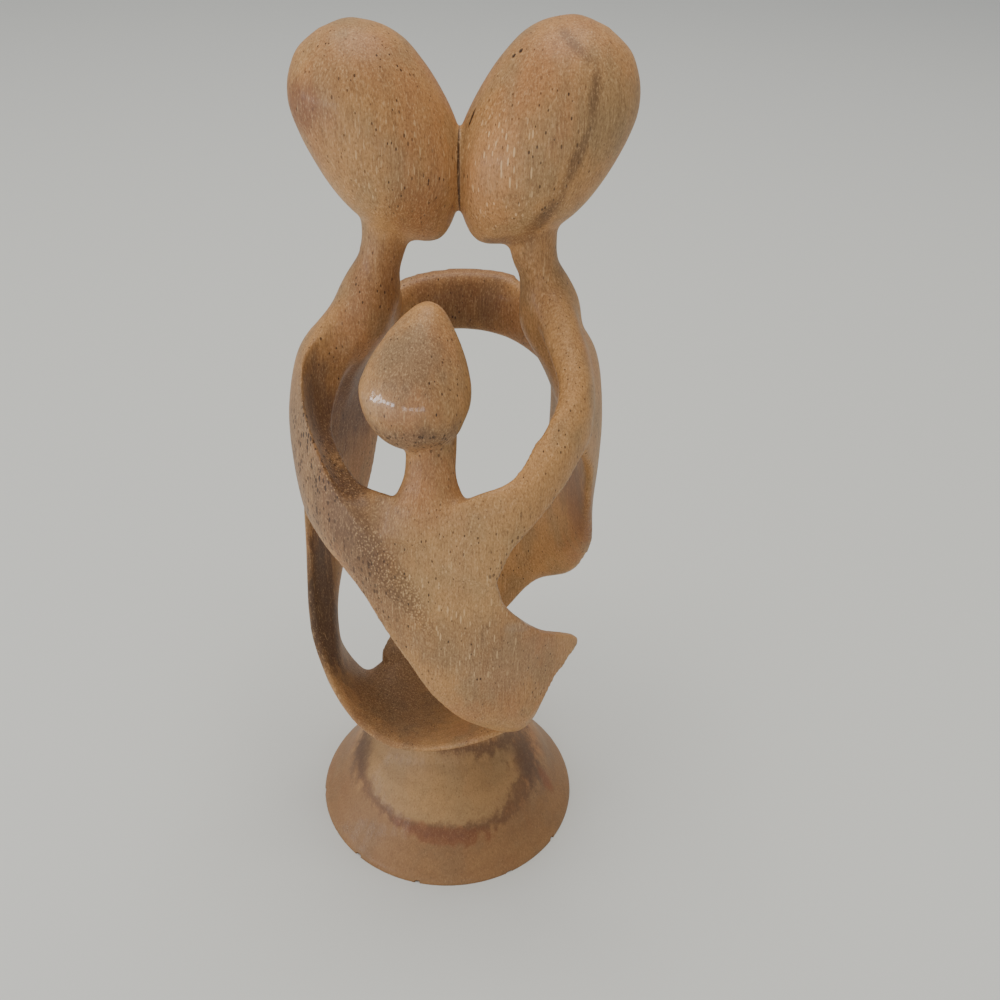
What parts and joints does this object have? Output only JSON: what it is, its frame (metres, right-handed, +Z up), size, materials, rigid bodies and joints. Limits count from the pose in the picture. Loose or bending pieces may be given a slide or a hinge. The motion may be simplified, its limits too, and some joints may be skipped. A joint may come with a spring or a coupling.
{
  "type": "family group sculpture",
  "caption": "Hand-carved wooden figure group of two parents holding a child, cut in flowing openwork from one round log, with faceless ovoid heads and a bell-shaped base.",
  "frame": {"origin": "centre of the base's flat underside", "axes": "+Z up along the log the group is cut from; the group faces -Y; +X is at the right parent's side, the viewer's right from the front"},
  "size_m": [0.069, 0.0679, 0.2],
  "materials": {
    "wood": "satin"
  },
  "bodies": {
    "root": {"family_group": "wood"}
  },
  "joints": []
}
